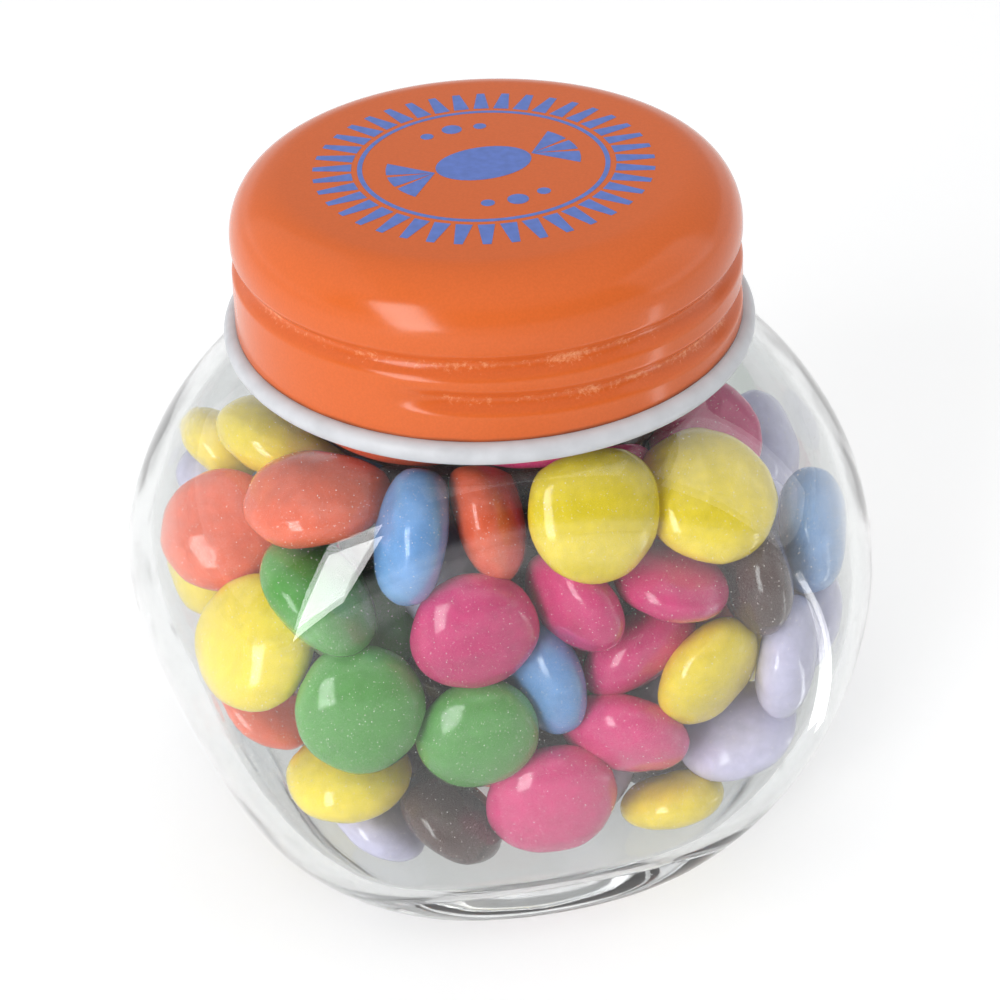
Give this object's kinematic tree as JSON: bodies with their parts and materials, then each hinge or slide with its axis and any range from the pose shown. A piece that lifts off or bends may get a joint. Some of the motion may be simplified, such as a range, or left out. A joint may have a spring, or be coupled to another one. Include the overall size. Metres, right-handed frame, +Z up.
{
  "type": "jar of chocolates",
  "caption": "Small round glass jar pressed flat front and back, filled with sugar-shelled chocolate lentils, with a screw lid of painted sheet metal.",
  "frame": {"origin": "middle of the base, on the surface the jar stands on", "axes": "+Z up along the lid's axis, -Y out of the front flat, +X along the jar's width"},
  "size_m": [0.0686, 0.0528, 0.0641],
  "materials": {
    "clear_glass": "clear, polished, with a faint green-grey tint at the edges",
    "orange_enamel": "satin orange enamel with a bare grey rolled edge",
    "sugar_shell": "smooth sugar shells in mixed colours, satin gloss"
  },
  "bodies": {
    "root": {"jar": "clear_glass", "lid": "orange_enamel", "chocolates": "sugar_shell"}
  },
  "joints": []
}
